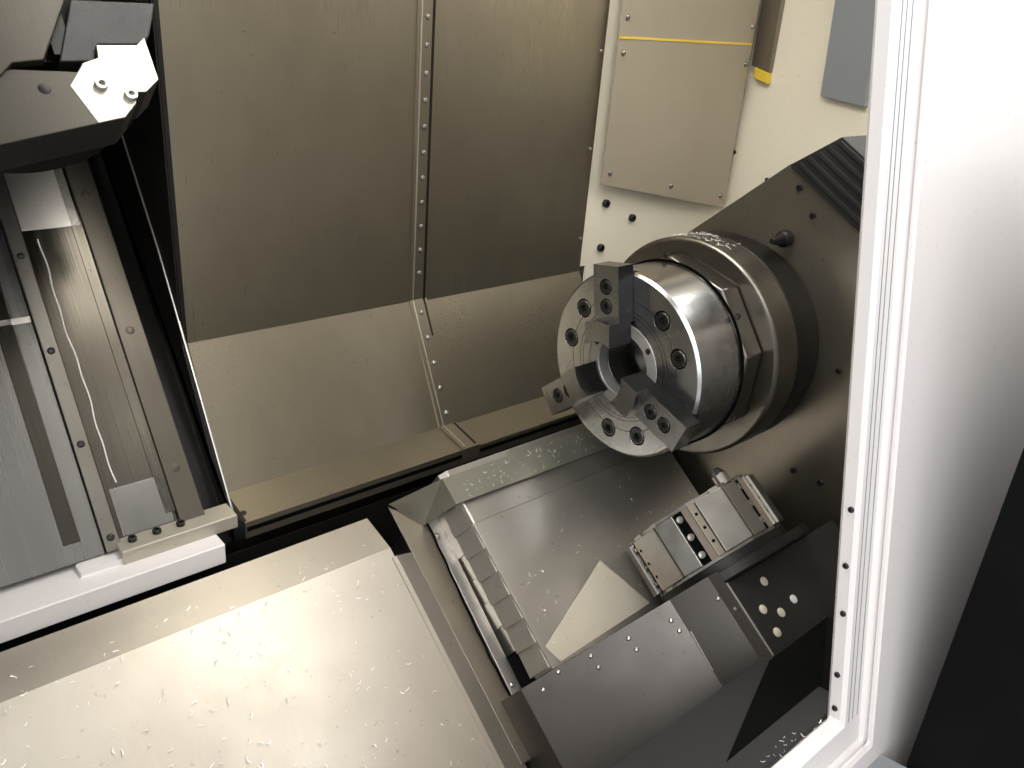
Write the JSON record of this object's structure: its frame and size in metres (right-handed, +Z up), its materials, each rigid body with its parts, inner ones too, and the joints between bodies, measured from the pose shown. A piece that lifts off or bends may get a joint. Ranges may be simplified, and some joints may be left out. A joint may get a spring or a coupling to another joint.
{
  "type": "cnc turning lathe",
  "caption": "Slant bed turning lathe with a sliding door, a sub spindle with a jaw chuck, upper and lower turrets, telescopic way covers and a console.",
  "frame": {"origin": "centre of the machine's box, on the floor", "axes": "+X along the spindle axis towards the sub spindle's headstock, +Y from the operator to the back, +Z up"},
  "size_m": [3, 1.5, 2],
  "materials": {
    "white_paint": "satin",
    "cream_paint": "satin",
    "grey_paint": "satin",
    "cast_iron": "machined",
    "stainless": "brushed",
    "steel": "ground",
    "dark_steel": "blackened",
    "black_plastic": "matte",
    "red_plastic": "gloss",
    "green_plastic": "gloss",
    "yellow_plastic": "gloss",
    "window_glass": "clear"
  },
  "bodies": {
    "machine": {"base_frame": "cast_iron", "bed_casting": "cast_iron", "left_side_panel": "white_paint", "right_side_panel": "white_paint", "rear_panel": "white_paint", "roof_panel": "white_paint", "front_lower_panel": "white_paint", "front_upper_panel": "white_paint", "door_jamb": "white_paint", "door_lower_rail": "grey_paint", "door_upper_rail": "grey_paint", "door_sill": "stainless", "left_end_wall": "cream_paint", "right_end_wall": "cream_paint", "rear_wall_panel": "cream_paint", "wall_cover": "cream_paint", "gutter_channel": "dark_steel", "work_lamp": "white_paint", "back_cover_fixed": "stainless", "front_cover_fixed": "stainless", "console_housing": "black_plastic", "console_screen": "window_glass"},
    "door": {"door_panel": "white_paint", "door_window": "window_glass", "door_handle": "steel"},
    "drawer": {"chip_drawer": "grey_paint"},
    "saddle": {"upper_saddle": "stainless", "saddle_sill": "white_paint", "back_cover_moving": "stainless"},
    "upper_x_slide": {"upper_slide": "cast_iron"},
    "upper_turret": {"upper_turret_drum": "dark_steel"},
    "carriage": {"lower_carriage": "cast_iron", "front_cover_moving": "stainless", "x_cover_inner": "stainless"},
    "lower_x_slide": {"turret_slide": "stainless", "turret_housing": "grey_paint", "x_cover_outer": "stainless"},
    "lower_turret": {"turret_drum": "steel", "turret_disc": "dark_steel"},
    "headstock": {"headstock_plate": "stainless", "headstock_body": "grey_paint", "way_wiper": "black_plastic", "coolant_nozzle": "dark_steel", "front_bearing": "steel", "rear_bearing": "steel"},
    "spindle": {"chuck_body": "steel", "pilot_bush": "steel", "chuck_adapter": "steel", "spindle_disc": "steel", "spindle_ring": "dark_steel", "spindle_shaft": "steel", "clamping_cylinder": "steel"},
    "jaw_1": {"chuck_jaw_1": "steel"},
    "jaw_2": {"chuck_jaw_2": "steel"},
    "jaw_3": {"chuck_jaw_3": "steel"},
    "cycle_start": {"cycle_start_button": "green_plastic"},
    "feed_hold": {"feed_hold_button": "yellow_plastic"},
    "stop_button": {"emergency_stop": "red_plastic"},
    "override": {"override_knob": "black_plastic"}
  },
  "joints": [
    {"name": "door_slide", "type": "slide", "parent": "machine", "child": "door", "axis": [1, 0, 0], "range_m": [0, 0.88]},
    {"name": "drawer_slide", "type": "slide", "parent": "machine", "child": "drawer", "axis": [0, -1, 0], "range_m": [0, 0.4]},
    {"name": "saddle_slide", "type": "slide", "parent": "machine", "child": "saddle", "axis": [1, 0, 0], "range_m": [-0.2, 0.08]},
    {"name": "upper_turret_slide", "type": "slide", "parent": "saddle", "child": "upper_x_slide", "axis": [0, 0.6293, 0.7771], "range_m": [-0.25, 0.1]},
    {"name": "upper_turret_index", "type": "hinge", "parent": "upper_x_slide", "child": "upper_turret", "pos_m": [-0.03, 0.03815, 1.2858], "axis": [0, 0.6293, 0.7771], "continuous": true},
    {"name": "carriage_slide", "type": "slide", "parent": "machine", "child": "carriage", "axis": [1, 0, 0], "range_m": [-0.3, 0.01]},
    {"name": "lower_turret_slide", "type": "slide", "parent": "carriage", "child": "lower_x_slide", "axis": [0, -0.8192, -0.5736], "range_m": [-0.02, 0.1]},
    {"name": "lower_turret_index", "type": "hinge", "parent": "lower_x_slide", "child": "lower_turret", "pos_m": [0.498, -0.36801, 0.8496], "axis": [0, -0.8192, -0.5736], "continuous": true},
    {"name": "headstock_slide", "type": "slide", "parent": "machine", "child": "headstock", "axis": [1, 0, 0], "range_m": [-0.01, 0.25]},
    {"name": "spindle_turn", "type": "hinge", "parent": "headstock", "child": "spindle", "pos_m": [0.45, -0.23, 1.05], "axis": [1, 0, 0], "continuous": true},
    {"name": "jaw_1_slide", "type": "slide", "parent": "spindle", "child": "jaw_1", "axis": [0, 0.1857, 0.9826], "range_m": [0, 0.0035]},
    {"name": "jaw_2_slide", "type": "slide", "parent": "spindle", "child": "jaw_2", "axis": [0, -0.9438, -0.3305], "range_m": [0, 0.0035]},
    {"name": "jaw_3_slide", "type": "slide", "parent": "spindle", "child": "jaw_3", "axis": [0, 0.7581, -0.6521], "range_m": [0, 0.0035]},
    {"name": "cycle_start_press", "type": "slide", "parent": "machine", "child": "cycle_start", "axis": [0, 1, 0], "range_m": [0, 0.004], "stiffness_N_per_m": 400, "springref_m": -0.001},
    {"name": "feed_hold_press", "type": "slide", "parent": "machine", "child": "feed_hold", "axis": [0, 1, 0], "range_m": [0, 0.004], "stiffness_N_per_m": 400, "springref_m": -0.001},
    {"name": "emergency_stop_press", "type": "slide", "parent": "machine", "child": "stop_button", "axis": [0, 1, 0], "range_m": [0, 0.004], "stiffness_N_per_m": 600, "springref_m": -0.001},
    {"name": "override_turn", "type": "hinge", "parent": "machine", "child": "override", "pos_m": [0.69, -0.73, 0.89], "axis": [0, -1, 0], "range_deg": [-135, 135]}
  ],
  "couplings": [
    {"joint": "jaw_2_slide", "follows": "jaw_1_slide", "ratio": 1},
    {"joint": "jaw_3_slide", "follows": "jaw_1_slide", "ratio": 1}
  ]
}
